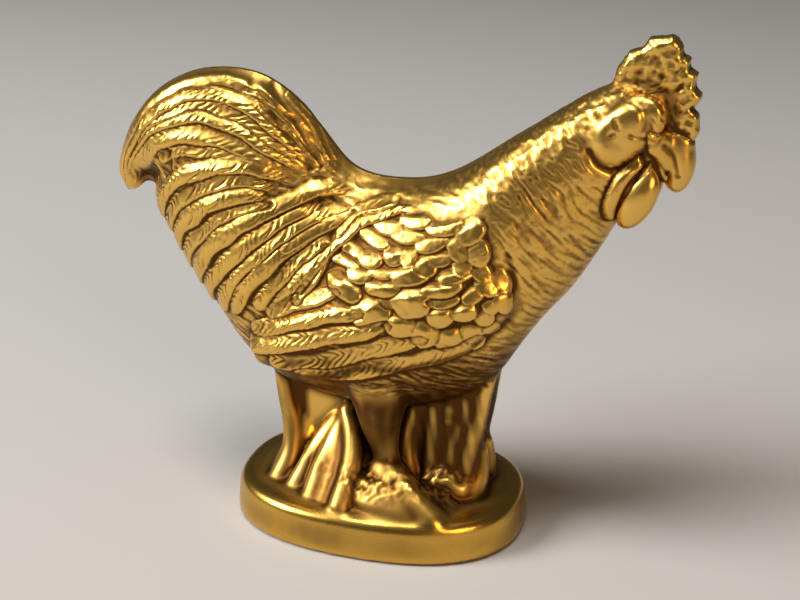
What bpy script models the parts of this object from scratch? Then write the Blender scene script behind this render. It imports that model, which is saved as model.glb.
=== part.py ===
"""A free-standing brass cockerel ornament on an oval base, as the castings that a foundry joins.

The bird faces +X with its right side to -Y, and the underside of the felt lies on z = 0.
Body, tail, neck and head are two thin-walled half shells that meet on the mid plane.  The comb is a
toothed plate seated in the saddle of the skull.  Two legs and two clumps of reeds carry the body,
and stand on a hollow oval base with felt under it.
"""

import math

import bmesh
import bpy
from mathutils import Matrix, Vector
from mathutils.bvhtree import BVHTree

# ---- driving sizes, in metres -------------------------------------------------------------
FIGURE_LENGTH = 0.155        # tail tip to the front of the comb
FIGURE_HEIGHT = 0.138        # table to the highest comb tooth
BODY_WIDTH = 0.047           # across both wings
SHELL_WALL = 0.0035          # wall of the two body castings
SEAM_GAP = 0.0003            # joint between any two castings
BASE_LENGTH = 0.0826
BASE_WIDTH = 0.0588
BASE_HEIGHT = 0.0117         # table to the flat of the rim
BASE_WALL = 0.004
BASE_EDGE_RADIUS = 0.003
BASE_DRAFT = 0.0008          # the side leans in by this much at the top
BASE_SQUARENESS = 2.39       # superellipse exponent of the oval
MOUND_RISE = 0.0065          # ground above the rim at the middle
FELT_THICKNESS = 0.0012
FELT_PROUD = 0.0003          # how far the felt stands out of its recess
FOOT_WIDTH = 0.0019          # rim of the base round the felt
COMB_THICKNESS = 0.0056
LEG_SPREAD = 0.0115          # leg centre from the mid plane
SHANK_RADIUS = 0.0029
THIGH_RADIUS = 0.0088
TOE_RADIUS = 0.0021
REED_WEB = 0.0075            # thickness of the web between the reeds
REED_RADIUS = 0.0024

# ---- the sculptor's drawing ---------------------------------------------------------------
# Side view in millimetres, drawn for a bird of this length, height, width and rim height.
DRAWN_LENGTH = 155.0
DRAWN_HEIGHT = 138.0
DRAWN_WIDTH = 47.0
DRAWN_RIM = 11.7

# Each section of the trunk, from the tail tip to the beak: where it meets the back, where it
# meets the underside, its half width, and how far down its fullest point lies.
TRUNK_SECTIONS = [
    ((-75.8, 92.5), (-73.6, 86.8), 2.2, 0.50),
    ((-74.2, 98.4), (-69.4, 88.0), 4.2, 0.50),
    ((-70.0, 107.6), (-64.2, 89.4), 6.2, 0.50),
    ((-62.3, 116.5), (-61.4, 81.4), 8.6, 0.52),
    ((-52.4, 122.2), (-58.0, 76.4), 11.0, 0.55),
    ((-41.2, 124.2), (-53.8, 69.6), 13.2, 0.60),
    ((-30.6, 122.8), (-49.0, 62.8), 15.0, 0.62),
    ((-21.2, 117.0), (-44.2, 57.0), 16.6, 0.64),
    ((-14.0, 108.7), (-39.5, 50.5), 17.8, 0.64),
    ((-8.2, 101.8), (-33.0, 43.8), 18.8, 0.62),
    ((-1.5, 98.8), (-23.0, 38.6), 19.6, 0.60),
    ((6.5, 98.3), (-9.0, 35.4), 20.4, 0.56),
    ((13.5, 99.0), (7.0, 35.4), 20.6, 0.52),
    ((20.5, 101.6), (21.2, 38.8), 20.0, 0.50),
    ((27.5, 106.0), (32.4, 46.0), 18.6, 0.48),
    ((34.5, 111.0), (39.2, 56.4), 16.6, 0.46),
    ((41.0, 115.4), (45.2, 65.2), 14.6, 0.46),
    ((47.0, 119.6), (51.4, 73.0), 12.8, 0.46),
    ((52.4, 123.2), (57.0, 82.6), 11.2, 0.46),
    ((58.4, 126.0), (61.8, 91.6), 9.8, 0.44),
    ((64.0, 126.0), (65.8, 97.6), 8.4, 0.42),
    ((69.0, 123.5), (69.4, 101.5), 6.8, 0.42),
    ((73.2, 116.5), (72.6, 102.4), 4.6, 0.44),
]
FIRST_HOLLOW, LAST_HOLLOW = 4, 19      # sections between which the trunk is hollow

# The wing lies along the flank: x, upper edge, lower edge, and how far out it stands.
WING_SECTIONS = [
    (-30.5, 55.5, 50.0, 18.6),
    (-28.5, 60.5, 47.8, 20.6),
    (-22.0, 67.5, 47.2, 22.2),
    (-12.0, 77.0, 48.4, 23.2),
    (0.0, 85.0, 50.6, 23.5),
    (12.0, 88.5, 53.8, 23.5),
    (22.0, 89.0, 57.4, 22.8),
    (31.0, 87.0, 61.6, 21.2),
    (37.5, 82.5, 66.8, 18.6),
    (40.5, 77.5, 71.5, 15.8),
]
WING_ROOT = 6.0              # how far out from the mid plane the wing starts, inside the trunk

# Outline of the comb, from the nape round the teeth to the beak and back inside the skull.
COMB_OUTLINE = [
    (58.6, 125.0), (59.8, 130.2), (62.2, 133.6), (65.2, 134.6), (66.8, 137.2), (69.2, 137.2),
    (71.4, 138.0), (73.4, 136.6), (74.2, 133.8), (76.4, 133.0), (76.0, 130.4), (78.4, 129.6),
    (77.7, 126.6), (79.4, 124.0), (77.4, 121.0), (79.4, 118.6), (79.0, 115.0), (77.6, 111.6),
    (72.0, 108.0), (66.0, 116.0),
]

# Round forms on each side of the head: centre, half sizes, and tilt in degrees about Y.
FACE_PATCH = ((63.6, 6.4, 117.2), (9.6, 3.4, 6.6), -40.0)
BROW = ((69.8, 6.6, 120.2), (2.6, 2.6, 4.8), -8.0)
FRONT_WATTLE = ((67.2, 4.4, 99.6), (3.9, 3.5, 8.2), 26.0)
REAR_WATTLE = ((61.8, 5.8, 101.4), (2.1, 3.4, 8.4), 30.0)

# The beak: points along it with a radius at each.
BEAK_LINE = [
    ((67.5, 113.5), 5.0), ((72.5, 111.2), 4.4), ((75.6, 107.4), 3.4), ((75.8, 103.4), 2.4),
    ((74.4, 100.4), 1.3),
]

# The right leg, hip to ankle, and its toes: x, distance out from the leg's line, z, radius share.
LEG_LINE = [(0.8, -3.0, 47.0, 0.50), (0.9, -1.4, 43.0, 0.86), (1.0, -0.4, 38.0, 0.96), (1.6, 0.0, 31.5, 0.70),
            (2.5, 0.0, 25.5, 0.42), (3.8, 0.3, 20.5, 0.34), (5.8, 0.5, 15.8, 0.42)]
TOE_ENDS = [(22.5, 11.5, 11.6), (26.0, 1.0, 12.4), (11.5, 13.5, 11.6), (-6.0, 2.0, 14.0)]
ANKLE = (5.0, 0.4, 18.0)

# The main feathers of a side, as points from root to tip on the side view and the half width.
FEATHERS = [
    ([(-22.5, 113.5), (-31, 119.4), (-41, 121.6), (-52, 119.8), (-61.5, 114.0), (-68.4, 105.4)], 2.2),
    ([(-22, 107.2), (-29, 112.6), (-36, 116.2), (-44, 117.2), (-52.5, 115.6), (-60, 110.8), (-66, 104)], 2.1),
    ([(-24, 103.4), (-31, 107.6), (-38, 110.8), (-46, 112), (-53, 110.9), (-59.5, 107.4), (-65, 102.6)], 2.1),
    ([(-26, 101.4), (-33, 104.2), (-41, 106.6), (-49, 107.2), (-55.5, 105.4), (-61, 101.6)], 2.1),
    ([(-24, 99.6), (-31, 100.8), (-39, 100.0), (-46.4, 98.6), (-52, 95.8), (-56.2, 91.8), (-59, 87.0)], 2.2),
    ([(-26, 94.6), (-34, 93.8), (-41, 91.2), (-47, 87.4), (-51.4, 83.2), (-54.6, 78.0)], 2.2),
    ([(-6, 95.6), (-13.5, 95.4), (-20, 92.6), (-28, 89), (-35, 84.4), (-41.4, 79.6), (-46, 74),
      (-49, 67.6)], 2.4),
    ([(-14, 92.0), (-21, 88.0), (-28, 83.4), (-34, 78.6), (-39, 73.6), (-43, 68.4), (-45.4, 63.8)], 2.2),
    ([(-10, 91), (-16.5, 87), (-23, 82.3), (-28.8, 77.4), (-33.6, 72.6), (-37.6, 67.6), (-40, 62.6)], 1.9),
    ([(-5, 91.4), (-12, 86.8), (-18.6, 82.2), (-24.4, 77.2), (-29, 72.2), (-32.8, 67.2), (-35.4, 62.0)], 2.3),
    ([(-1, 87.2), (-7.0, 82.6), (-12.4, 78.2), (-16.6, 73.4), (-20.2, 68.8)], 2.1),
    ([(10, 93.2), (3, 91.2), (-2.6, 87.6), (-7.0, 82.8), (-10.6, 77.6), (-14.4, 71.8)], 1.9),
    ([(3, 69.2), (-4, 67.4), (-11, 65.4), (-18, 62.6), (-25, 59.8)], 2.1),
    ([(10, 66.0), (4, 63.8), (-3, 61.2), (-10, 58.8), (-17, 56.6), (-24, 55.0)], 2.2),
    ([(31, 63.6), (26, 60.6), (20, 58.0), (12, 55.2), (5, 52.8), (-2, 50.8), (-10, 49.6), (-18, 49.2)], 2.3),
]
FEATHER_PROUD = 1.1          # how far feathers and coverts stand out of the body, in mm
COVERT_DEPTH = 2.2
# The main coverts of a wing: middle on the side view and half sizes along and up it.
COVERTS = [
    (14.2, 80.0, 3.8, 2.4), (7.6, 76.2, 3.5, 2.0), (15.4, 73.8, 4.0, 3.3), (4.7, 69.8, 4.0, 3.4),
    (25.6, 80.4, 4.0, 1.9), (23.2, 77.0, 3.6, 1.8), (-2.6, 74.8, 4.2, 2.3), (12.0, 67.6, 2.9, 2.7),
    (18.9, 66.2, 2.8, 3.6), (25.2, 65.2, 3.0, 3.2), (22.8, 71.2, 2.9, 2.4), (28.9, 72.0, 2.6, 2.2),
    (9.5, 84.0, 2.6, 2.0), (18.0, 83.6, 2.8, 2.0),
]

# Web and reeds behind the legs (rear) and before them (front): the web's outline, then for each
# reed the points from its root on the base to its tip under the body, as x, out from mid plane, z.
REAR_WEB = [(-24.0, 11.0), (-24.4, 18.0), (-24.0, 25.0), (-25.8, 33.0), (-28.0, 46.0), (0.0, 46.0),
            (0.0, 11.0)]
FRONT_WEB = [(0.0, 11.0), (0.0, 46.0), (34.0, 53.0), (32.4, 46.0), (30.0, 38.0), (28.4, 29.0), (28.6, 20.0),
             (31.0, 11.0)]
REAR_REEDS = [
    [(-26.0, 12.0, 11.0), (-24.0, 7.5, 17.5), (-24.6, 5.0, 25.0), (-26.4, 4.4, 33.0), (-28.0, 4.2, 44.0)],
    [(-20.0, 15.5, 11.0), (-17.5, 10.5, 17.5), (-14.8, 6.5, 23.5), (-10.5, 4.6, 29.5)],
    [(-13.5, 19.0, 11.0), (-12.5, 14.0, 17.5), (-11.0, 9.0, 23.0), (-9.0, 6.0, 28.5), (-7.0, 4.6, 33.5)],
    [(-4.5, 23.5, 11.0), (-3.6, 18.5, 17.0), (-3.8, 13.5, 22.5), (-5.8, 8.5, 28.0), (-8.8, 5.0, 32.5)],
]
FRONT_REEDS = [
    [(17.0, 7.5, 12.0), (16.4, 5.4, 22.0), (16.6, 4.6, 31.0), (17.0, 4.4, 44.0)],
    [(20.5, 7.0, 12.0), (21.8, 5.0, 23.0), (24.6, 4.4, 33.0), (28.0, 4.2, 48.0)],
    [(24.5, 6.5, 12.0), (26.6, 4.9, 24.0), (29.0, 4.6, 34.0), (31.9, 4.3, 49.0)],
    [(12.0, 8.5, 12.0), (9.6, 6.0, 21.0), (9.8, 4.8, 29.0), (12.5, 4.4, 42.0)],
]

# ---- fineness of the meshes ---------------------------------------------------------------
SECTION_SIDES = 26
OVAL_SIDES = 64
TUBE_SIDES = 10
LEG_SIDES = 14
FEATHER_SIDES = 8
BULB_SEGMENTS = 14
BULB_RINGS = 9
BETWEEN_SECTIONS = 2         # sections interpolated between two drawn ones

MM = 0.001
REACH = 1.0                  # longer than anything here, for the cutting block


def side_x(x):
    """A drawn x in millimetres as a real x."""
    return x / DRAWN_LENGTH * FIGURE_LENGTH


def side_z(z):
    """A drawn height as a real one: what stands on the rim rises with the base."""
    share = (z - DRAWN_RIM) / (DRAWN_HEIGHT - DRAWN_RIM)
    return BASE_HEIGHT + share * (FIGURE_HEIGHT - BASE_HEIGHT)


def side_y(y):
    """A drawn distance from the mid plane as a real one."""
    return y / DRAWN_WIDTH * BODY_WIDTH


def place(x, y, z):
    return Vector((side_x(x), side_y(y), side_z(z)))


# ---- building blocks ----------------------------------------------------------------------
def clear_scene():
    for item in list(bpy.data.objects):
        bpy.data.objects.remove(item, do_unlink=True)


def new_collection(name, shown):
    found = bpy.data.collections.new(name)
    found.hide_render = not shown
    bpy.context.scene.collection.children.link(found)
    return found


def brass(name, colour, roughness):
    made = bpy.data.materials.new(name)
    made.use_nodes = True
    shader = made.node_tree.nodes["Principled BSDF"]
    shader.inputs["Base Color"].default_value = (*colour, 1.0)
    shader.inputs["Metallic"].default_value = 1.0
    shader.inputs["Roughness"].default_value = roughness
    return made


def felt_cloth():
    made = bpy.data.materials.new("felt_cloth")
    made.use_nodes = True
    shader = made.node_tree.nodes["Principled BSDF"]
    shader.inputs["Base Color"].default_value = (0.02, 0.05, 0.03, 1.0)
    shader.inputs["Metallic"].default_value = 0.0
    shader.inputs["Roughness"].default_value = 0.95
    return made


def mesh_object(bm, name, collection):
    mesh = bpy.data.meshes.new(name)
    bm.to_mesh(mesh)
    bm.free()
    made = bpy.data.objects.new(name, mesh)
    collection.objects.link(made)
    return made


def spline(points, between):
    """Points on a smooth curve through the given ones, with some added between each two."""
    found = []
    last = len(points) - 1
    for i in range(last):
        before, start, end = points[max(i - 1, 0)], points[i], points[i + 1]
        after = points[min(i + 2, last)]
        for k in range(between + 1):
            t = k / (between + 1)
            found.append([
                0.5 * ((2 * b) + (c - a) * t + (2 * a - 5 * b + 4 * c - d) * t * t
                       + (3 * b - a - 3 * c + d) * t ** 3)
                for a, b, c, d in zip(before, start, end, after)
            ])
    found.append(list(points[-1]))
    return found


def loft(bm, rings):
    """A closed skin over rings of points, each with as many points as the next, and capped."""
    loops = [[bm.verts.new(p) for p in ring] for ring in rings]
    count = len(rings[0])
    for one, two in zip(loops, loops[1:]):
        for k in range(count):
            bm.faces.new((one[k], one[(k + 1) % count], two[(k + 1) % count], two[k]))
    bm.faces.new(loops[0])
    bm.faces.new(loops[-1])
    bmesh.ops.recalc_face_normals(bm, faces=bm.faces)


def lofted(rings, name, collection):
    bm = bmesh.new()
    loft(bm, rings)
    return mesh_object(bm, name, collection)


def tube_rings(points, radii, sides):
    """Round rings square to a path, each turned on from the last so that they never twist."""
    path = [Vector(p) for p in points]
    rings = []
    side = None
    for i, at in enumerate(path):
        along = (path[min(i + 1, len(path) - 1)] - path[max(i - 1, 0)]).normalized()
        side = Vector((0, 1, 0)) if side is None else side
        side = (side - along * side.dot(along)).normalized()
        up = along.cross(side)
        rings.append([
            at + (side * math.cos(a) + up * math.sin(a)) * radii[i]
            for a in (2 * math.pi * k / sides for k in range(sides))
        ])
    return rings


def bulb(shape, side, grow, name, collection):
    """A tilted ellipsoid, for the round forms of the head."""
    centre, halves, tilt = shape
    bm = bmesh.new()
    bmesh.ops.create_uvsphere(bm, u_segments=BULB_SEGMENTS, v_segments=BULB_RINGS, radius=1.0)
    size = Vector((side_x(halves[0]), side_y(halves[1]), halves[2] / DRAWN_HEIGHT * FIGURE_HEIGHT))
    bmesh.ops.scale(bm, vec=size + Vector((grow, grow, grow)), verts=bm.verts)
    turn = Matrix.Rotation(math.radians(tilt), 3, "Y")
    bmesh.ops.rotate(bm, cent=(0, 0, 0), matrix=turn, verts=bm.verts)
    x, out, z = centre
    bmesh.ops.translate(bm, vec=place(x, side * out, z), verts=bm.verts)
    return mesh_object(bm, name, collection)


def boolean(target, other, operation):
    """Adds an exact Boolean and keeps its result on the target."""
    step = target.modifiers.new(operation.lower(), "BOOLEAN")
    step.operation = operation
    step.object = other
    step.solver = "EXACT"
    graph = bpy.context.evaluated_depsgraph_get()
    result = bpy.data.meshes.new_from_object(target.evaluated_get(graph))
    target.modifiers.clear()
    target.data = result
    return target


def joined(parts):
    """One solid from overlapping ones; what is joined on is removed."""
    first = parts[0]
    for other in parts[1:]:
        boolean(first, other, "UNION")
        bpy.data.objects.remove(other, do_unlink=True)
    return first


def mirrored(source, name, collection):
    """The same piece on the other side of the mid plane."""
    bm = bmesh.new()
    bm.from_mesh(source.data)
    bmesh.ops.scale(bm, vec=(1, -1, 1), verts=bm.verts)
    bmesh.ops.reverse_faces(bm, faces=bm.faces)
    return mesh_object(bm, name, collection)


def finish(piece, material):
    piece.data.materials.clear()
    piece.data.materials.append(material)
    piece.data.shade_smooth()
    piece.data.set_sharp_from_angle(angle=math.radians(40))


# ---- forms that both a piece and the cutter for its neighbour are made from -----------------
def trunk_ring(section, grow):
    top_x, top_z, low_x, low_z, half_width, fullest = section
    top = place(top_x, 0, top_z)
    low = place(low_x, 0, low_z)
    chord = low - top
    height = chord.length
    chord.normalize()
    start = top - chord * grow
    span = height + 2 * grow
    width = side_y(half_width) + grow
    skew = math.log(fullest) / math.log(0.5)
    ring = []
    for k in range(SECTION_SIDES):
        angle = 2 * math.pi * k / SECTION_SIDES
        down = (0.5 - 0.5 * math.cos(angle)) ** skew
        out = -math.copysign(abs(math.sin(angle)) ** 0.86, math.sin(angle))
        ring.append(start + chord * (span * down) + Vector((0, out * width, 0)))
    return ring


def trunk_form(grow, sections, name, collection):
    """Body, tail, neck and skull without the wings, grown or shrunk all round."""
    flat = [[*top, *low, width, fullest] for top, low, width, fullest in sections]
    rings = [trunk_ring(section, grow) for section in spline(flat, BETWEEN_SECTIONS)]
    return lofted(rings, name, collection)


def wing_form(side, grow, name, collection):
    """One wing as a long pad with a full lower edge."""
    rings = []
    for x, upper, lower, out in spline(WING_SECTIONS, BETWEEN_SECTIONS):
        top, low = side_z(upper) + grow, side_z(lower) - grow
        outer = side_y(out) + grow
        root = side_y(WING_ROOT)
        ring = []
        for k in range(SECTION_SIDES):
            angle = 2 * math.pi * k / SECTION_SIDES
            rise = math.copysign(abs(math.cos(angle)) ** 0.8, math.cos(angle))
            proud = 0.5 + 0.5 * math.copysign(abs(math.sin(angle)) ** 0.7, math.sin(angle))
            lean = 0.30 * rise if rise > 0 else 0.0
            ring.append(Vector((
                side_x(x),
                side * (root + (outer - root) * proud * (1 - lean)),
                (top + low) / 2 + (top - low) / 2 * rise,
            )))
        rings.append(ring)
    return lofted(rings, name, collection)


def oval(inset, z, centre_share=1.0):
    """A ring of the base's oval, set in from its edge, at a height."""
    half_length = (BASE_LENGTH / 2 - inset) * centre_share
    half_width = (BASE_WIDTH / 2 - inset) * centre_share
    power = 2 / BASE_SQUARENESS
    ring = []
    for k in range(OVAL_SIDES):
        angle = 2 * math.pi * k / OVAL_SIDES
        c, s = math.cos(angle), math.sin(angle)
        ring.append(Vector((
            half_length * math.copysign(abs(c) ** power, c),
            half_width * math.copysign(abs(s) ** power, s),
            z,
        )))
    return ring


def ground_rings(grow):
    """The top of the base from its edge to the crown of the mound, raised by grow."""
    rings = []
    edge_steps = 4
    for k in range(edge_steps + 1):
        angle = math.pi / 2 * k / edge_steps
        inset = BASE_DRAFT + BASE_EDGE_RADIUS * (1 - math.cos(angle))
        rings.append(oval(inset, BASE_HEIGHT - BASE_EDGE_RADIUS * (1 - math.sin(angle)) + grow))
    edge = BASE_DRAFT + BASE_EDGE_RADIUS
    mound_steps = 6
    for k in range(1, mound_steps + 1):
        share = 1 - k / (mound_steps + 1)
        swell = 0.5 + 0.5 * math.cos(math.pi * share)
        rings.append(oval(edge, BASE_HEIGHT + MOUND_RISE * swell + grow, share))
    return rings


def ground_cutter(collection):
    """All that lies under the ground's surface and its joint gap."""
    rings = [oval(0, -BASE_HEIGHT), oval(0, BASE_HEIGHT - BASE_EDGE_RADIUS)]
    return lofted(rings + ground_rings(SEAM_GAP), "ground_cutter", collection)


# ---- the pieces -----------------------------------------------------------------------------
def body_form(sides, grow, name, collection):
    """The outside of the bird above the legs, with the wings and cheeks of the given sides."""
    parts = [trunk_form(grow, TRUNK_SECTIONS, name, collection)]
    for side in sides:
        parts.append(wing_form(side, grow, "wing", collection))
        for shape in (FACE_PATCH, BROW, REAR_WATTLE, FRONT_WATTLE):
            parts.append(bulb(shape, side, grow, "bulb", collection))
    path = [place(x, 0, z) for (x, z), _ in BEAK_LINE]
    radii = [side_y(radius) + grow for _, radius in BEAK_LINE]
    parts.append(lofted(tube_rings(path, radii, TUBE_SIDES), "beak", collection))
    return joined(parts)


def on_right_side(tree, x, z, depth):
    """The place on the right side of a form at a drawn x and z, sunk in by a depth in mm."""
    start = place(x, 0, z) - Vector((0, REACH / 2, 0))
    hit, normal, _, _ = tree.ray_cast(start, Vector((0, 1, 0)))
    return hit - normal * (depth * MM)


def add_feathers(body, collection):
    """Raises the main feathers and wing coverts of the right side."""
    bm = bmesh.new()
    bm.from_mesh(body.data)
    tree = BVHTree.FromBMesh(bm)
    bm.free()
    for line, half_width in FEATHERS:
        path = [on_right_side(tree, x, z, half_width - FEATHER_PROUD) for x, z in spline(line, 1)]
        last = len(path) - 1
        radii = [half_width * MM * min(1.0, 0.7 + 0.5 * min(i, last - i)) for i in range(last + 1)]
        boolean(body, lofted(tube_rings(path, radii, FEATHER_SIDES), "feather", collection), "UNION")
    for x, z, half_x, half_z in COVERTS:
        middle = on_right_side(tree, x, z, COVERT_DEPTH - FEATHER_PROUD)
        bm = bmesh.new()
        bmesh.ops.create_uvsphere(bm, u_segments=10, v_segments=7, radius=1.0)
        bmesh.ops.scale(bm, vec=(half_x * MM, COVERT_DEPTH * MM, half_z * MM), verts=bm.verts)
        bmesh.ops.translate(bm, vec=middle, verts=bm.verts)
        boolean(body, mesh_object(bm, "covert", collection), "UNION")


def body_halves(pieces, cutters, material):
    """Two hollow castings that meet on the mid plane."""
    right = body_form((-1,), 0.0, "right_body_half", pieces)
    add_feathers(right, cutters)
    core_sections = TRUNK_SECTIONS[FIRST_HOLLOW:LAST_HOLLOW + 1]
    boolean(right, trunk_form(-SHELL_WALL, core_sections, "body_core", cutters), "DIFFERENCE")
    block = bmesh.new()
    bmesh.ops.create_cube(block, size=REACH)
    bmesh.ops.translate(block, vec=(0, REACH / 2 - SEAM_GAP / 2, 0), verts=block.verts)
    boolean(right, mesh_object(block, "far_side", cutters), "DIFFERENCE")
    finish(mirrored(right, "left_body_half", pieces), material)
    finish(right, material)


def comb_plate(pieces, body, material):
    """A flat toothed plate that follows the skull."""
    outline = [place(x, 0, z) for x, z in COMB_OUTLINE]
    thick = COMB_THICKNESS / 2
    edge = 0.0012
    centre = sum(outline, Vector()) / len(outline)
    rings = []
    for y, inset in ((-thick, edge), (-thick + edge, 0.0), (thick - edge, 0.0), (thick, edge)):
        rings.append([p + (centre - p).normalized() * inset + Vector((0, y, 0)) for p in outline])
    comb = lofted(rings, "comb", pieces)
    boolean(comb, body, "DIFFERENCE")
    finish(comb, material)


def web_block(outline, half_thickness, grow, name, collection):
    """A flat web between the two sides, its outline moved out from its middle by grow."""
    flat = [place(x, 0, z) for x, z in outline]
    middle = sum(flat, Vector()) / len(flat)
    joint = Vector((math.copysign(SEAM_GAP / 2, middle.x), 0, 0))
    flat = [p + joint + (p - middle).normalized() * grow for p in flat]
    rings = [[p + Vector((0, y, 0)) for p in flat] for y in (-half_thickness - grow, half_thickness + grow)]
    return lofted(rings, name, collection)


def reed_clump(outline, reeds, grow, name, collection):
    """A web on the mid plane with reeds lying against it on both sides."""
    parts = [web_block(outline, REED_WEB / 2, grow, name, collection)]
    for reed in reeds:
        line = spline([list(p) for p in reed], 2)
        last = len(line) - 1
        radii = [REED_RADIUS * (1.25 - 0.6 * i / last) + grow for i in range(last + 1)]
        pair = bmesh.new()
        for side in (-1, 1):
            path = [place(x, 0, z) + Vector((0, side * out * MM, 0)) for x, out, z in line]
            loft(pair, tube_rings(path, radii, TUBE_SIDES))
        parts.append(mesh_object(pair, "reed_pair", collection))
    return joined(parts)


def leg(pieces, material):
    """Thigh, shank and four toes as one casting."""
    line = spline([list(p) for p in LEG_LINE], 2)
    path = [place(x, 0, z) - Vector((0, LEG_SPREAD + out * MM, 0)) for x, out, z, _ in line]
    radii = [max(share * THIGH_RADIUS, SHANK_RADIUS) for *_, share in line]
    parts = [lofted(tube_rings(path, radii, LEG_SIDES), "right_leg", pieces)]
    ankle = place(ANKLE[0], 0, ANKLE[2]) - Vector((0, LEG_SPREAD + ANKLE[1] * MM, 0))
    for x, out, z in TOE_ENDS:
        end = place(x, 0, z) - Vector((0, LEG_SPREAD + out * MM, 0))
        knuckle = ankle.lerp(end, 0.55) + Vector((0, 0, TOE_RADIUS))
        radii = [SHANK_RADIUS, TOE_RADIUS * 1.15, TOE_RADIUS * 0.6]
        toe = tube_rings([ankle, knuckle, end], radii, TUBE_SIDES)
        parts.append(lofted(toe, "toe", pieces))
    return joined(parts)


def base_casting(pieces, material):
    """A hollow oval tray: the inside, the recess for the felt, the side and the ground as one skin."""
    ledge = FELT_THICKNESS + SEAM_GAP
    ceiling = BASE_HEIGHT - BASE_WALL
    rings = [oval(BASE_WALL, ceiling, 0.02), oval(BASE_WALL, ceiling), oval(BASE_WALL, ledge)]
    rings += [oval(FOOT_WIDTH, ledge), oval(FOOT_WIDTH, FELT_PROUD), oval(0, FELT_PROUD)]
    base = lofted(rings + ground_rings(0.0), "base", pieces)
    finish(base, material)


def felt_pad(pieces, material):
    inset = FOOT_WIDTH + SEAM_GAP
    rings = [oval(inset, 0.0), oval(inset, FELT_THICKNESS)]
    pad = lofted(rings, "felt_pad", pieces)
    finish(pad, material)


def build():
    clear_scene()
    pieces = new_collection("brass_cockerel", shown=True)
    cutters = new_collection("cutters", shown=False)
    metal = brass("polished_brass", (0.72, 0.47, 0.14), 0.3)
    body_halves(pieces, cutters, metal)
    body = body_form((-1, 1), SEAM_GAP, "body_cutter", cutters)
    ground = ground_cutter(cutters)
    comb_plate(pieces, body, metal)
    right_leg = leg(pieces, metal)
    clumps = ((REAR_WEB, REAR_REEDS, "rear_reeds"), (FRONT_WEB, FRONT_REEDS, "front_reeds"))
    for outline, reeds, name in clumps:
        clump = reed_clump(outline, reeds, 0.0, name, pieces)
        boolean(clump, body, "DIFFERENCE")
        boolean(clump, ground, "DIFFERENCE")
        finish(clump, metal)
        boolean(right_leg, reed_clump(outline, reeds, SEAM_GAP, name + "_cutter", cutters), "DIFFERENCE")
    boolean(right_leg, body, "DIFFERENCE")
    boolean(right_leg, ground, "DIFFERENCE")
    finish(mirrored(right_leg, "left_leg", pieces), metal)
    finish(right_leg, metal)
    base_casting(pieces, metal)
    felt_pad(pieces, felt_cloth())
    for item in cutters.objects:
        item.hide_render = True
        item.display_type = "WIRE"


build()
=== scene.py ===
"""The looks of a cast brass cockerel ornament, modelled round its packed castings."""

import math

import bmesh
import bpy
import numpy as np
from mathutils import Matrix, Vector, noise


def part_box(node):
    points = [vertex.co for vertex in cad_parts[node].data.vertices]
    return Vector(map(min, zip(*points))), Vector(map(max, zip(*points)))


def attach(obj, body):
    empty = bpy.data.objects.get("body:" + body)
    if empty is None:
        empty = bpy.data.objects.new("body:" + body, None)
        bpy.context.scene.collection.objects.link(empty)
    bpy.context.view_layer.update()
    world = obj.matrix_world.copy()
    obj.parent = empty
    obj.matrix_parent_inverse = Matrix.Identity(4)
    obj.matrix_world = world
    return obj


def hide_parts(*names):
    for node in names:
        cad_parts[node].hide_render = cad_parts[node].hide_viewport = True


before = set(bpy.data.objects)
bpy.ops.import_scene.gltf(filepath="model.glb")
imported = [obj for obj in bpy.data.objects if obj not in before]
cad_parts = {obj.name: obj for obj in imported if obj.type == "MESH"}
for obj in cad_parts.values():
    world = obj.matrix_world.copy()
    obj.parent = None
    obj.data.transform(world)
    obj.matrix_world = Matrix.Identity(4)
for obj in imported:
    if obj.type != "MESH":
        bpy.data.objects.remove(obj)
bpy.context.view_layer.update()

MM = 0.001


# ---- The sculptor's model ----------------------------------------------------------------------
# The bird, its reeds and the ground are modelled whole in clay, and the castings are moulded from
# parts of that one model.  Feathers are pressed into the clay and cast with it, so they have soft
# edges.  Only the right side is modelled, and the left is its mirror image.
CLAY_VOXEL = 0.38 * MM
RUN_IN = 0.35 * MM           # how much a packed casting is thickened, to run into its neighbours
ON_SEAM = 1e-6               # points nearer the mid plane than this lie on it
CRISP, CALM, SOFT = 7, 19, 44    # rounds of evening, one after the other: the comb has only the first
GROUND = 11.9 * MM           # height of the ground at the rim, below which everything is the base
RIDGE_FADE = (0.06, 0.34)    # share of sideways normal over which feathers fade out on the ridges
PLUMAGE_FOOT = (42, 47)      # heights in mm over which reeds and ground give way to plumage
FAR_AWAY = 9.0               # distance to a feather, in half widths, before one is found
BASE_OVAL = 2.39             # exponent of the base's oval, which is a little squarer than an ellipse

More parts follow.
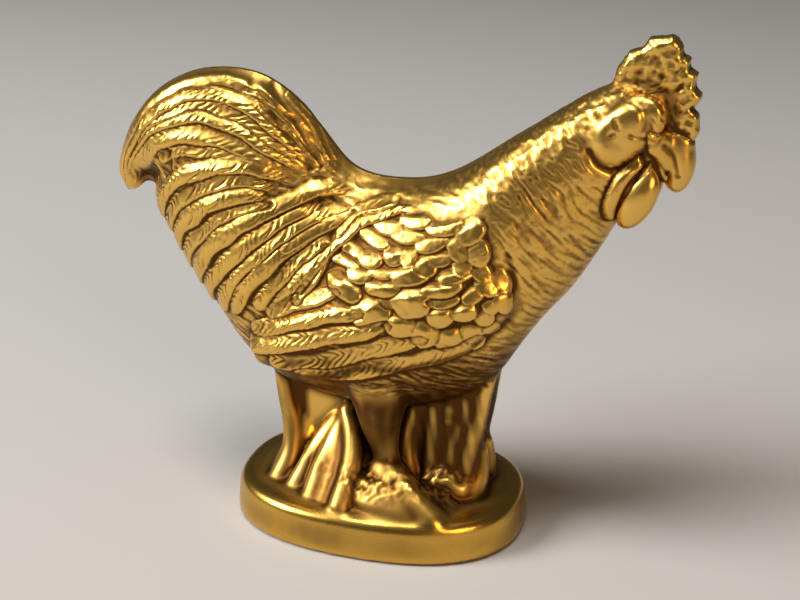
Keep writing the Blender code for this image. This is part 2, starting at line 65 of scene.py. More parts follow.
# Feathers as (points along the quill from root to tip, width, rise, barb depth), in mm on the
# side view.  Each list is one tract of plumage.
TAIL = [
    ([(-15, 103.5), (-22.5, 113.5), (-31, 120.0), (-41, 122.3), (-52, 120.4), (-61.5, 114.6), (-68.8, 105.6),
      (-73, 96.5), (-74.4, 89)], 5.0, 0.55, 0.0),
    ([(-15, 101), (-22, 107.2), (-29, 112.6), (-35, 116.4), (-44, 117.6), (-52.5, 116), (-60, 111.2),
      (-66.2, 104.6), (-70.4, 97.6), (-72.6, 91.5)], 4.2, 0.85, 0.26),
    ([(-16, 100.4), (-24, 105.6), (-31, 110.8), (-37, 113.8), (-45, 114.8), (-52, 113.4), (-59, 109.4),
      (-65, 103.4), (-69.6, 97)], 2.8, 0.70, 0.26),
    ([(-17, 99.8), (-24, 103.4), (-31, 107.6), (-38, 110.8), (-46, 112.2), (-53, 111.2), (-59.5, 107.8),
      (-64.6, 103.2), (-69, 97.8), (-71.8, 93)], 2.8, 0.80, 0.24),
    ([(-19, 98.8), (-26, 101.6), (-33, 104.8), (-41, 107.4), (-49, 108.0), (-55.5, 106.2), (-61.4, 102.4),
      (-66.4, 97.4), (-70.6, 92.2), (-72.6, 88.6)], 4.6, 0.60, 0.14),
    ([(-22, 98.9), (-30, 101.6), (-38, 103.6), (-46, 104.0), (-53, 102.6), (-58.4, 100)], 2.6, 0.60, 0.18),
    ([(-12.6, 101.5), (-17.4, 107.5), (-23, 113.5), (-29, 118), (-35, 120.2)], 1.7, 0.60, 0.10),
    ([(-13.2, 100.2), (-18.6, 105.6), (-25, 111.4), (-31, 115.6)], 1.7, 0.60, 0.10),
    ([(-11.0, 101.4), (-14.8, 107.0), (-19.4, 113.0), (-25, 118.4)], 1.6, 0.55, 0.10),
    ([(-9.5, 101.2), (-12.4, 105.6), (-16.2, 111.0), (-20.6, 116.0)], 1.6, 0.50, 0.10),
]
TAIL_COVERTS = [
    ([(-22, 99.2), (-31, 100.8), (-39, 100), (-46.4, 98.6), (-52, 95.8), (-56.2, 91.8), (-59, 87.4),
      (-60.8, 83)], 4.4, 0.95, 0.26),
    ([(-24, 96.8), (-32, 97.2), (-40, 96), (-46.8, 93.6), (-51.8, 89.8), (-55.2, 85.2), (-57.8, 80)],
     4.2, 0.95, 0.26),
    ([(-26, 94.4), (-34, 93.8), (-41, 91.2), (-47, 87.4), (-51.4, 83.2), (-54.4, 78.6), (-56, 74)],
     4.2, 1.0, 0.22),
    ([(-24, 92.2), (-31, 90.6), (-38, 87), (-44.4, 82.6), (-49, 78), (-52, 73.4), (-53.6, 69.4)],
     3.8, 1.0, 0.20),
    ([(-6, 96.2), (-13.5, 96), (-20, 92.8), (-28, 89), (-35, 84.4), (-41.4, 79.6), (-46, 74), (-48.8, 68.2),
      (-50.2, 64.6)], 4.6, 1.15, 0.10),
    ([(-12, 93), (-19, 89.4), (-26, 85.0), (-32, 80.4), (-37.2, 75.6), (-41.8, 70.6), (-45, 65.8),
      (-46.8, 61.6)], 4.4, 1.10, 0.20),
    ([(-9, 92), (-16.5, 87.6), (-23.4, 82.4), (-29, 77.4), (-33.6, 72.6), (-37.6, 67.6), (-40.8, 61)],
     3.9, 1.05, 0.24),
    ([(-5, 91.4), (-12, 86.8), (-18.6, 82.2), (-24.4, 77.2), (-29, 72.2), (-32.8, 67.2), (-35.6, 61.6)],
     4.0, 1.15, 0.14),
    ([(-3, 89.4), (-9.4, 84.6), (-15.4, 80.0), (-20.8, 74.8), (-24.8, 69.8), (-28.2, 64.4)], 3.6, 1.0, 0.26),
    ([(-1, 87.2), (-7.0, 82.6), (-12.4, 78.2), (-16.6, 73.4), (-20.2, 68.6), (-23, 64.6)], 3.2, 0.9, 0.26),
]
SADDLE = [
    ([(8, 94.8), (3, 94.0), (-1.5, 91.8), (-4.6, 88.6), (-6.6, 85.0)], 3.2, 0.8, 0.10),
    ([(15, 93.6), (8, 92.8), (1.5, 90.6), (-3.4, 87), (-7.2, 82.6), (-10.6, 77.8), (-14.6, 71.8),
      (-17.4, 67.4)], 2.6, 1.05, 0.24),
    ([(-3, 91.0), (-9, 88.4), (-15, 85.0), (-21, 80.8)], 2.8, 1.0, 0.08),
]
FLIGHT_FEATHERS = [
    ([(-4, 72.6), (-9, 71.6), (-14.5, 69.4), (-20, 66.4), (-25, 63.2)], 3.6, 0.85, 0.24),
    ([(3, 69.2), (-4, 67.4), (-11, 65.4), (-18, 62.6), (-25, 59.8), (-30, 57.8)], 3.8, 0.95, 0.26),
    ([(10, 66.6), (4, 64.4), (-3, 62.4), (-10, 60.2), (-17, 58.0), (-24, 56.0), (-31, 54.4)],
     4.4, 1.05, 0.26),
    ([(19, 64.2), (12, 61.6), (5, 58.6), (-2, 55.8), (-9, 53.4), (-16, 51.8), (-24, 51.2)], 4.6, 1.15, 0.26),
    ([(32.5, 64.6), (27, 60.8), (20, 57.8), (12, 55.2), (5, 52.8), (-2, 50.6), (-10, 49.2), (-18, 48.6)],
     4.4, 1.35, 0.16),
]
# Wing coverts as (centre x, centre z, size across, size along, way the tip points in degrees).
WING_SCALES = [
    (14, 91.6, 7, 3.4, -80), (6.4, 89.6, 7, 3.2, -95), (21.5, 91.2, 8, 3.6, -75), (28, 91.2, 7, 4.4, -60),
    (3.4, 86.6, 7, 3.0, -100), (11.8, 88.4, 8, 3.2, -95), (18.6, 87.2, 7, 4.0, -80),
    (25, 87.4, 4, 6.8, -55), (29.8, 87.2, 5, 7, -55), (-3.0, 83.8, 7, 2.8, -110),
    (9.5, 84.0, 4.6, 3.8, -90), (13.4, 84.0, 4.2, 4.2, -80), (18.0, 82.4, 4.4, 4.0, -60),
    (22.2, 84.0, 5.4, 2.8, -80), (3.0, 82.2, 5.6, 3.6, -85), (27.0, 83.6, 4, 5, -60),
    (-3.6, 80.4, 7, 2.6, -105), (14.2, 80.0, 7.8, 4.8, -75), (7.2, 79.8, 6.4, 2.4, -85),
    (26.0, 80.6, 8, 3.0, -80), (0.8, 78.0, 6.2, 3.4, -85), (23.0, 77.5, 8.2, 3.4, -80),
    (31.6, 82.0, 3.6, 5.4, -50), (33.2, 78.5, 3.2, 5.6, -45), (7.9, 76.2, 7.4, 3.8, -85),
    (30.6, 76.0, 4.8, 3.6, -60), (36.4, 79.6, 2.8, 6.0, -55), (37.6, 75.0, 3.0, 6.4, -75),
    (-2.8, 74.6, 9.0, 4.6, -105), (15.4, 73.8, 8.6, 6.8, -80), (35.0, 73.4, 3.0, 3.6, -60),
    (23.4, 74.4, 6.5, 2.6, -80), (28.5, 72.2, 5.2, 4.2, -70), (22.8, 70.9, 5.8, 4.8, -75),
    (33.2, 70.8, 4.2, 3.8, -70), (9.5, 72.8, 3.6, 3.2, -90), (4.7, 69.8, 8.6, 6.8, -70),
    (12.6, 67.6, 6.4, 5.8, -90), (18.8, 66.4, 5.8, 7.4, -88), (24.6, 65.0, 6.2, 6.8, -95),
    (30.4, 66.4, 4.4, 5.6, -85), (34.6, 67.4, 3.4, 3.4, -70), (30.0, 62.6, 5.4, 3.4, -60),
]
# Bare parts of the head as (outline, rise, width of the rounded edge), from back to front; the
# cheek has a soft edge all round, and its crisp lower edge is a crease.
WATTLES_AND_BEAK = [
    ([(66.8, 110.6), (63, 107.4), (60.4, 102.6), (59.2, 98), (60.0, 94.4), (61.8, 95), (62.6, 99),
      (64.6, 103.8), (67.6, 108)], 1.1, 1.5),
    ([(69.4, 108.6), (71.4, 105), (71.4, 101), (69.8, 96.8), (66.6, 93), (63.4, 92.2), (62.0, 95),
      (62.8, 99.6), (65.2, 104.8)], 1.5, 2.6),
    ([(68.4, 117), (73.6, 116.0), (78.4, 113.4), (79.4, 107), (77.8, 102.6), (75.6, 100.8), (73.0, 102.0),
      (72.2, 105.6), (70.2, 109.8), (68.6, 112.4)], 0.8, 2.4),
]
CHEEK_AND_BROW = [
    ([(54.0, 113.2), (55.8, 109.6), (60.4, 107.4), (64.6, 108.2), (68.6, 111.8), (69.8, 116), (70.6, 121),
      (68.6, 124.6), (63, 125.6), (57.2, 122), (54.2, 117.8)], 1.5, 4.6),
]
BROW = ([(60.4, 124.4), (64.6, 125.2), (68.6, 124.0), (70.6, 120.8), (70.4, 117.6), (68.6, 115.0)],
        3.0, -0.75)
# Creases of the head, the neck and the wing's edge as (points, width, depth).
CREASES = [
    ([(48, 118.6), (53, 121.6), (58, 124.4)], 2.2, 0.30),
    ([(55.2, 112.0), (57.4, 108.5), (60.8, 107.0), (64.4, 108.0), (67.8, 110.8)], 1.7, 0.80),
    ([(62.2, 124.2), (66.0, 122.8), (67.6, 119.8), (67.0, 117.0)], 1.5, 0.38),
    ([(61.0, 119.6), (62.0, 117.4)], 1.0, 0.35),
    ([(59.8, 115.6), (61.6, 116.6)], 1.0, 0.25),
    ([(64.2, 116.6), (66.8, 115.8), (69.6, 115.0)], 1.3, 0.40),
    ([(69.9, 110.4), (71.8, 107.8), (73.0, 105.4)], 1.0, 0.45),
    ([(71.6, 113.4), (74.4, 110.0), (76.0, 105.6)], 1.3, 0.35),
    ([(37.4, 86), (39.4, 81), (40.0, 75), (39.2, 70), (36.6, 65.4), (32.4, 61.6)], 1.9, 0.40),
    ([(-5, 83.4), (-10, 77.4), (-15, 70.2)], 1.2, 0.50),
    ([(-31.6, 68), (-33.9, 61.0)], 1.8, 0.50),
    ([(-33.5, 121.6), (-28.4, 116.4), (-23.6, 110.4), (-19.2, 104.8), (-15.4, 100.0)], 1.5, 0.40),
    ([(-28.6, 120.6), (-22.8, 114.2), (-18.0, 107.4), (-13.4, 100.8)], 1.3, 0.35),
]
# The hollow under the curl of the tail, as a wide deep crease.
TAIL_HOLLOW = ([(-69.6, 91.4), (-65.0, 93.0), (-60.6, 96.4)], 7.0, 3.2)
NECK_FOOT, NECK_CROWN = (4.0, 77.0), (60.0, 119.0)    # middle line of the neck, breast to skull


# Rolls of clay that run legs, reeds and ground together, as (x, out, z, radius) along each.
ROLLS = [
    [(2.2, 8.6, 50, 11.6), (2.6, 9.3, 45.5, 10.0), (3.0, 9.8, 41, 8.2), (3.2, 10.4, 36.5, 6.9),
     (3.6, 11, 32, 5.6), (4.6, 11.6, 27, 4.2), (5.6, 12, 22, 3.8), (6.4, 12.8, 17, 5.0)],
    [(-9.2, 19.2, 10.6, 4.4), (-8.2, 14.6, 17, 4.0), (-7.6, 9.8, 22.6, 3.5), (-7.8, 6.2, 28.4, 2.8)],
    [(-13.4, 12.6, 10.6, 5.4), (-13.2, 8.6, 16, 4.6), (-12.6, 5.4, 21.5, 3.8), (-12.4, 3.4, 26, 3.0)],
    [(-3.0, 9.0, 12, 6.0), (-2.6, 6.6, 20, 5.0), (-3.4, 4.6, 28, 4.0)],
    [(-20, 6, 12, 4.4), (-21, 4, 20, 3.2), (-21, 3, 27, 2.6)],
    [(5.5, 13.0, 19.0, 5.0), (10, 15.6, 16.8, 5.0), (15.5, 18.6, 13.5, 4.9), (21, 20.6, 10.2, 4.4)],
    [(-6, 13, 8.5, 8.0), (3, 15, 9.8, 10.0), (9, 16.6, 9.6, 9.6), (14.5, 16.2, 9.0, 9.0), (20, 14, 8.0, 7.6)],
    [(18, 8.5, 15, 4.2), (21, 8.5, 16.5, 3.4), (24.5, 8.0, 14.5, 4.2)],
    [(14, 2.2, 13, 5.8), (14, 1.6, 28, 4.8), (15, 1.6, 42, 5.0)],
    [(19, 2.6, 13, 5.8), (20, 2.0, 28, 4.8), (23, 1.8, 44, 5.0)],
    [(24.5, 2.8, 13, 5.4), (25.5, 2.2, 28, 4.4), (28.5, 1.8, 46, 4.2)],
    [(27, 6.0, 12.5, 4.4), (29, 4.0, 17, 3.4), (29, 3.0, 24, 2.6)],
    [(-26, 8.5, 12, 4.0), (-25, 6.0, 17, 3.2)],
    [(74.4, 0.6, 115.0, 2.6), (75.8, 0.8, 111.0, 2.8), (76.2, 0.9, 107.0, 2.8), (75.4, 0.9, 103.8, 2.6)],
]


def as_object(bm, name):
    mesh = bpy.data.meshes.new(name)
    bm.to_mesh(mesh)
    bm.free()
    made = bpy.data.objects.new(name, mesh)
    bpy.context.scene.collection.objects.link(made)
    return made


def clay(piece, voxel):
    """Remeshes closed forms evenly into one, so that it can be modelled like clay."""
    step = piece.modifiers.new("clay", "REMESH")
    step.mode = "VOXEL"
    step.voxel_size = voxel
    graph = bpy.context.evaluated_depsgraph_get()
    mesh = bpy.data.meshes.new_from_object(piece.evaluated_get(graph))
    piece.modifiers.clear()
    piece.data = mesh


def add_body_skin(bm):
    """The outside of a hollow half casting and of its mirror image, as one closed skin."""
    half = bmesh.new()
    half.from_mesh(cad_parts["right_body_half"].data)
    bmesh.ops.remove_doubles(half, verts=half.verts, dist=1e-6)
    seam = max(v.co.y for v in half.verts)
    cut = [f for f in half.faces if all(abs(v.co.y - seam) < 1e-5 for v in f.verts)]
    bmesh.ops.delete(half, geom=cut, context="FACES_ONLY")
    outer = {min(half.verts, key=lambda v: v.co.y)}
    edge = list(outer)
    while edge:
        reached = {e.other_vert(v) for v in edge for e in v.link_edges} - outer
        outer |= reached
        edge = list(reached)
    bmesh.ops.delete(half, geom=[v for v in half.verts if v not in outer], context="VERTS")
    for v in half.verts:
        if abs(v.co.y - seam) < 1e-5:
            v.co.y = 0.0
    whole = half.verts[:] + half.edges[:] + half.faces[:]
    bmesh.ops.mirror(half, geom=whole, axis="Y", merge_dist=1e-6)
    bmesh.ops.recalc_face_normals(half, faces=half.faces)
    skin = bpy.data.meshes.new("skin")
    half.to_mesh(skin)
    half.free()
    bm.from_mesh(skin)
    bpy.data.meshes.remove(skin)


def add_node(bm, node, thicken):
    """A packed casting, a little thickened so that it runs into its neighbours."""
    start = len(bm.verts)
    bm.from_mesh(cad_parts[node].data)
    bm.verts.ensure_lookup_table()
    bmesh.ops.remove_doubles(bm, verts=bm.verts[start:], dist=1e-6)
    bm.verts.ensure_lookup_table()
    bm.normal_update()
    for v in bm.verts[start:]:
        v.co += v.normal * thicken


def add_ground(bm):
    """The base as a plain closed block: its outside without the hollow underneath."""
    block = bmesh.new()
    block.from_mesh(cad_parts["base"].data)
    bmesh.ops.remove_doubles(block, verts=block.verts, dist=1e-6)
    low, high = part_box("base")
    reach = [(high[i] - low[i]) / 2 for i in (0, 1)]
    inside = []
    for v in block.verts:
        across = [abs(v.co[i]) / reach[i] for i in (0, 1)]
        if v.co.z < 0.8 * GROUND and max(across) < 0.985 and sum(a ** BASE_OVAL for a in across) < 0.93:
            inside.append(v)
    bmesh.ops.delete(block, geom=inside, context="VERTS")
    bmesh.ops.holes_fill(block, edges=[e for e in block.edges if e.is_boundary], sides=0)
    bmesh.ops.recalc_face_normals(block, faces=block.faces)
    skin = bpy.data.meshes.new("block")
    block.to_mesh(skin)
    block.free()
    bm.from_mesh(skin)
    bpy.data.meshes.remove(skin)


def add_roll(bm, line):
    """A roll of clay laid on each side, as balls close enough to run into one."""
    for x, out, z, radius in curve(line, 4 * len(line)):
        for side in (-1, 1):
            place = Matrix.Translation(Vector((x, side * out, z)) * MM)
            bmesh.ops.create_icosphere(bm, subdivisions=2, radius=radius * MM, matrix=place)


def read_layer(layer, field, count):
    found = np.empty(len(layer) * count, np.float32)
    layer.foreach_get(field, found)
    return found.reshape(-1, count).astype(float)


def points_of(mesh):
    return read_layer(mesh.vertices, "co", 3)


def normals_of(mesh):
    return read_layer(mesh.vertex_normals, "vector", 3)


def edges_of(mesh):
    found = np.empty(len(mesh.edges) * 2, np.int32)
    mesh.edges.foreach_get("vertices", found)
    return found.reshape(-1, 2)


def move_points(mesh, points):
    mesh.vertices.foreach_set("co", points.astype(np.float32).ravel())
    mesh.update()


def evened(values, edges, times, share=0.5):
    """Values shared out with their neighbours over the mesh, as often as asked."""
    a, b = edges.T
    count = len(values)
    links = np.bincount(a, minlength=count) + np.bincount(b, minlength=count)
    links = np.maximum(links, 1)[:, None]
    for _ in range(times):
        columns = [np.bincount(a, c[b], count) + np.bincount(b, c[a], count) for c in values.T]
        values = values + share * (np.stack(columns, 1) / links - values)
    return values


def ramp(values, low, high):
    """0 below low, 1 above high, and an even curve between."""
    t = np.clip((values - low) / (high - low), 0, 1)
    return t * t * (3 - 2 * t)


def grain(a, b, seed):
    """Smooth noise between about -1 and 1 over two coordinates."""
    return np.array([noise.noise(Vector((u, v, seed))) for u, v in zip(a, b)]) * 1.8


def curve(points, steps=26):
    """Evenly named points on a smooth line through the given ones."""
    p = np.array(points, float)
    last = len(p) - 1
    where = np.linspace(0, last, steps)
    i = np.minimum(where.astype(int), last - 1)
    t = (where - i)[:, None]
    a, b, c, d = p[np.maximum(i - 1, 0)], p[i], p[i + 1], p[np.minimum(i + 2, last)]
    square, cube = 2 * a - 5 * b + 4 * c - d, 3 * b - a - 3 * c + d
    return 0.5 * (2 * b + (c - a) * t + square * t ** 2 + cube * t ** 3)


def along_line(spots, line, reach):
    """For the spots near a line: which they are, how far along it, how far aside, and its length."""
    path = curve(line)
    low, high = path.min(0) - reach, path.max(0) + reach
    near = np.where(((spots > low) & (spots < high)).all(1))[0]
    start, step = path[:-1], np.diff(path, axis=0)
    length = np.hypot(*step.T)
    run = np.concatenate([[0], np.cumsum(length)])
    offset = spots[near, None] - start[None]
    low_end, high_end = np.zeros(len(start)), np.ones(len(start))
    low_end[0], high_end[-1] = -9, 9
    share = np.clip((offset * step).sum(2) / (length ** 2), low_end, high_end)
    away = offset - share[..., None] * step
    best = (away ** 2).sum(2).argmin(1)
    pick = np.arange(len(near))
    gone = away[pick, best]
    aside = (step[best, 0] * gone[:, 1] - step[best, 1] * gone[:, 0]) / length[best]
    return near, run[best] + share[pick, best] * length[best], aside, run[-1]


def closest(kept, near, distance, *facts):
    """Keeps, for each spot, the two least distances and the facts of the nearer thing."""
    best, second = kept[0], kept[1]
    closer = distance < best[near]
    second[near] = np.where(closer, best[near], np.minimum(second[near], distance))
    spot = near[closer]
    best[spot] = distance[closer]
    for i, fact in enumerate(facts):
        kept[2 + i][spot] = fact[closer] if isinstance(fact, np.ndarray) else fact


def feather_bed(spots, feathers, seed):
    """A tract of feathers that lie side by side: each is domed, tilted onto the next and barbed."""
    kept = np.zeros((7, len(spots)))     # least and second distance, then the facts named below
    kept[:2] = FAR_AWAY
    for line, width, rise, barb in feathers:
        near, along, aside, length = along_line(spots, line, width)
        half = width / 2 * (0.6 + 0.4 * ramp(along / length, 0, 0.3))
        past = np.maximum(along - (length - half), 0) / half
        distance = np.hypot(aside / half, past) + np.maximum(-along, 0)
        raised = rise * ramp(along / length, -0.02, 0.14)
        closest(kept, near, distance, along, aside, half, raised, barb)
    inside = np.where(kept[0] < 1.3)[0]
    best, second, along, aside, half, rise, barb = kept[:, inside]
    crown = np.minimum(ramp(second - best, 0, 0.6), 1 - ramp(best, 0.7, 1.3)) ** 0.75
    deep = np.clip(0.55 + 0.5 * grain(along / 7.0, rise * 9.0, seed + 13), 0.15, 0.9)
    phase = (along - 1.5 * np.abs(aside + 0.5 * half)) / 2.5 + 0.5 * grain(along / 5.0, aside / 4.0, seed)
    marks = 1.6 * np.abs(np.sin(np.pi * phase)) ** 0.7 - 1
    marks *= ramp(grain(along / 5.0, aside / 3.0, seed + 7), -0.7, 0.6)
    height = rise * (0.8 - 0.8 * deep * (1 - crown) + 0.25 * np.clip(aside / half, -1, 1) * crown)
    height += barb * marks * crown ** 0.5
    relief, cover = np.zeros(len(spots)), np.zeros(len(spots))
    relief[inside], cover[inside] = height, 1 - ramp(best, 1.05, 1.3)
    return relief, cover


def scale_bed(spots, scales):
    """Rounded feathers like roof tiles: each rises to its tip, and covers the roots of those below."""
    relief, cover = np.full(len(spots), 0.12), np.zeros(len(spots))
    for x, z, across, along, way in sorted(scales, key=lambda scale: scale[1]):
        near = np.where(np.hypot(spots[:, 0] - x, spots[:, 1] - z) < 1.5 * max(across, along))[0]
        c, s = math.cos(math.radians(way)), math.sin(math.radians(way))
        dx, dz = spots[near, 0] - x, spots[near, 1] - z
        ahead = (dx * c + dz * s) / (along * 0.70)
        beside = (dz * c - dx * s) / (across * 0.65)
        rounded = np.where(ahead > 0, 2.0, 1.5)
        reach = (np.abs(ahead) ** rounded + np.abs(beside) ** 2.2) ** 0.5
        dome = np.sqrt(np.maximum(1 - reach ** 2.2, 0))
        swell = min(max(math.sqrt(across * along) / 5.0, 0.75), 1.15)
        height = swell * (0.40 + 0.22 * np.clip(ahead + 1, 0, 2) + 0.42 * dome)
        share = (1 - ramp(reach, 0.90, 1.08)) * (1 - ramp(-ahead, 0.0, 0.9))
        relief[near] = relief[near] * (1 - share) + height * share
        cover[near] = np.maximum(cover[near], 1 - ramp(reach, 1.2, 1.9))
    return relief, cover


def lay_patch(relief, spots, outline, rise, edge, soft=False):
    """Raises a smooth rounded form within an outline, with a crisp foot or a soft one."""
    shape = np.array(outline, float)
    closed = curve(np.vstack([shape, shape[:1]]), 40)
    start, step = closed[:-1], np.diff(closed, axis=0)
    low, high = closed.min(0) - 1, closed.max(0) + 1
    near = np.where(((spots > low) & (spots < high)).all(1))[0]
    offset = spots[near, None] - start[None]
    share = np.clip((offset * step).sum(2) / (step ** 2).sum(1), 0, 1)
    gap = np.sqrt(((offset - share[..., None] * step) ** 2).sum(2).min(1))
    above = offset[..., 1] >= 0
    crossing = above != np.roll(above, -1, 1)
    turn = step[:, 0] * offset[..., 1] - step[:, 1] * offset[..., 0]
    inside = ((crossing & ((turn > 0) == (step[:, 1] > 0))).sum(1) % 2) == 1
    t = np.clip(gap / edge, 0, 1)
    if soft:
        relief[near] += np.where(inside, rise * ramp(t, 0, 1) - relief[near] * ramp(t, 0.1, 0.7), 0)
        return
    swelling = rise * np.sqrt(1 - (1 - t) ** 2)
    rim = -0.2 * rise * np.exp(-(gap / 0.7) ** 2)
    relief[near] = np.where(inside, np.maximum(relief[near], 0) * (1 - t) + swelling, relief[near] + rim)


def cut_crease(relief, spots, line, width, depth):
    near, along, aside, length = along_line(spots, line, width)
    ends = ramp(along, -width * 0.6, width * 0.5) * ramp(length - along, -width * 0.6, width * 0.5)
    relief[near] -= depth * np.exp(-(aside / (width * 0.5)) ** 2) * ends


def strokes(across, along, pitch, length, seed):
    """Short broken tool marks: close together across, drawn out along."""
    fine = grain(across / pitch, along / length, seed)
    coarse = grain(across / (2.3 * pitch), along / (1.6 * length), seed + 3)
    return 0.5 + 0.5 * np.tanh(1.6 * fine + 0.7 * coarse + 0.45)


def plumage(points, normals):
    """How far each point of the right side stands out of the plain form, in mm."""
    spots = np.stack([points[:, 0], points[:, 2]], 1) / MM
    x, z = spots.T
    loose = spots + 0.5 * np.stack([grain(x / 7, z / 7, 3.1), grain(x / 7, z / 7, 8.7)], 1)

    foot = np.array(NECK_FOOT)
    axis = np.array(NECK_CROWN) - foot
    axis /= np.hypot(*axis)
    up_neck = (loose - foot) @ axis
    beside = (loose[:, 1] - foot[1]) * axis[0] - (loose[:, 0] - foot[0]) * axis[1]
    round_neck = np.arctan2(beside, np.maximum(-points[:, 1] / MM, 0.5)) * 14.0
    # Where each tract of small plumage lies, as ramps over mm of the side view.
    on_neck = ramp(up_neck - 0.35 * beside, 22, 34)
    on_breast = ramp(x - 0.25 * (z - 70), 37, 41) * (1 - on_neck)
    on_back = ramp(z, 92.5, 95.5) * ramp(x, -6, 2) * (1 - on_neck)
    on_belly = 1 - ramp(z + 0.25 * np.abs(x - 5), 47, 51)
    # Its strokes, by their pitch and length in mm and a seed, and then how high they stand.
    neck = strokes(up_neck + 0.12 * round_neck, round_neck, 1.2, 3.6, 21.0)
    breast = strokes(up_neck + 0.45 * round_neck, round_neck, 1.15, 2.6, 31.0)
    back = strokes(z, x, 1.1, 4.2, 41.0)
    belly = strokes(loose[:, 1], loose[:, 0], 0.8, 2.6, 51.0)
    relief = (0.28 * neck * on_neck + 0.32 * breast * on_breast
              + 0.25 * back * on_back + 0.25 * belly * on_belly)
    elsewhere = (1 - on_neck) * (1 - on_breast) * (1 - on_back) * (1 - on_belly)
    relief += 0.3 * strokes(z + 0.4 * x, x, 1.2, 4.0, 61.0) * elsewhere

    for seed, tract in enumerate((TAIL, TAIL_COVERTS, FLIGHT_FEATHERS, SADDLE)):
        height, cover = feather_bed(loose, tract, 5.0 + seed)
        if tract is FLIGHT_FEATHERS:
            cover = cover * (1 - ramp(x, 34, 37))
        relief = relief * (1 - cover) + np.maximum(relief * 0.6, height) * cover
        if tract is TAIL_COVERTS:
            height, cover = scale_bed(loose, WING_SCALES)
            relief = relief * (1 - cover) + height * cover
    pits = grain(x / 0.8, z / 0.8, 71.0)
    relief -= 0.10 * np.maximum(pits - 0.5, 0) + 0.05 * grain(x / 1.7, z / 1.7, 77.0)

    relief -= 0.45
    sideways = ramp(np.abs(normals[:, 1]), *RIDGE_FADE)
    ridge = ramp(-points[:, 1] / MM, 0.5, 5.0)
    relief *= np.maximum(sideways, 0.8 * on_neck) * (0.25 + 0.75 * ridge)
    for form in WATTLES_AND_BEAK:
        lay_patch(relief, spots, *form)
    for form in CHEEK_AND_BROW:
        lay_patch(relief, spots, *form, soft=True)
    cut_crease(relief, spots, *BROW)
    for crease in CREASES:
        cut_crease(relief, spots, *crease)
    cut_crease(relief, spots, *TAIL_HOLLOW)
    return relief


def undergrowth(points, normals):
    """Folds in the leaves and rough ground round the feet, in mm; the rim of the base stays smooth."""
    x, y, z = points.T / MM
    # The flat web behind the leg has no folds.
    panel = ramp(x, -20, -18) * (1 - ramp(x, -12, -10)) * ramp(z, 19, 22) * (1 - ramp(z, 36, 39))
    folds = 0.22 * grain((x + 0.25 * z) / 2.6, z / 18, 81.0)
    folds *= np.maximum(ramp(x, 9, 13), 0.3 * ramp(-x, 4, 8))
    folds *= 1 - panel
    lumps = 0.34 * grain(x / 3.0, y / 3.0, 87.0) + 0.16 * grain(x / 1.3, y / 1.3, 89.0)
    lumps *= (1 - ramp(z, 19, 23)) * (0.3 + 0.7 * ramp(x, -7, -3))
    flat = ramp(normals[:, 2], 0.35, 0.75)
    rough = 1 - ramp(np.hypot((x - 3) / 30, (y + 2) / 24), 0.75, 1.0)
    return folds * (1 - flat) * ramp(z, 14, 20) + lumps * flat * rough * ramp(z, 11, 13)


def store_depth_and_painted_light(mesh, near_times=6, far_times=50):
    """Keeps how high each point stands over its surroundings, 1 on a rubbed top and 0 in a recess, with
    painted shade on the low parts and under the belly and painted light on the web behind the leg.
    """
    points, normals, edges = points_of(mesh), normals_of(mesh), edges_of(mesh)
    seam = np.abs(points[:, 1]) < ON_SEAM
    normals[seam, 1] = 0
    near = evened(points, edges, near_times)
    far = evened(near, edges, far_times)
    fine = ((points - near) * normals).sum(1) / MM
    broad = ((near - far) * normals).sum(1) / MM
    x, _, z = points.T / MM
    # Legs, reeds and the low ground round them, and then faces turned down under the belly, are darkened with
    # painted shade; on legs and reeds it also stands for brass that polishing can't reach.
    painted_shade = 0.32 * (1 - ramp(z, 36, 46)) * ramp(z, 11.5, 14.0)
    painted_shade += 0.38 * ramp(-normals[:, 2], -0.15, 0.5) * (1 - ramp(z, 50, 64)) * ramp(z, 13, 20)
    # The flat web behind the leg is painted bright, as painted light on a face turned to the lamp.
    painted_light_on_web = 0.55 * ramp(x, -22, -19) * (1 - ramp(x, -11, -8)) * ramp(z, 20, 24) * (1 - ramp(z, 38, 42))
    depth = np.clip(0.54 + 2.9 * fine + 1.5 * broad - painted_shade + painted_light_on_web, 0, 1)
    layer = mesh.attributes.new("depth", "FLOAT", "POINT")
    layer.data.foreach_set("value", depth.astype(np.float32))


# The comb stands on the skull along this line of the side view.
COMB_FOOT = [(57, 124.2), (62, 127.0), (67, 127.2), (71.4, 125.2), (73.4, 121.5), (73.6, 117.5),
             (75.4, 115), (80, 113.4)]
COMB_HUB = (64.0, 117.0)     # where the furrows between its teeth run to


def on_comb(spots):
    """1 on the comb, 0 on the rest of the figure."""
    near, _, aside, _ = along_line(spots, COMB_FOOT, 14)
    found = np.zeros(len(spots))
    found[near] = ramp(aside, 0.3, 2.2) * ramp(spots[near, 0], 56.5, 58.0)
    return found


def comb_skin(points):
    """The comb's pitted skin with furrows that fan out to the teeth, in mm."""
    x, z = points[:, 0] / MM, points[:, 2] / MM
    turn = np.arctan2(z - COMB_HUB[1], x - COMB_HUB[0]) * 14
    away = np.hypot(z - COMB_HUB[1], x - COMB_HUB[0])
    rough = 0.22 * grain(x / 2.2, z / 2.2, 91.0) + 0.10 * grain(x / 1.0, z / 1.0, 93.0)
    return rough + 0.32 * strokes(turn, away, 1.9, 5.0, 95.0) - 0.2


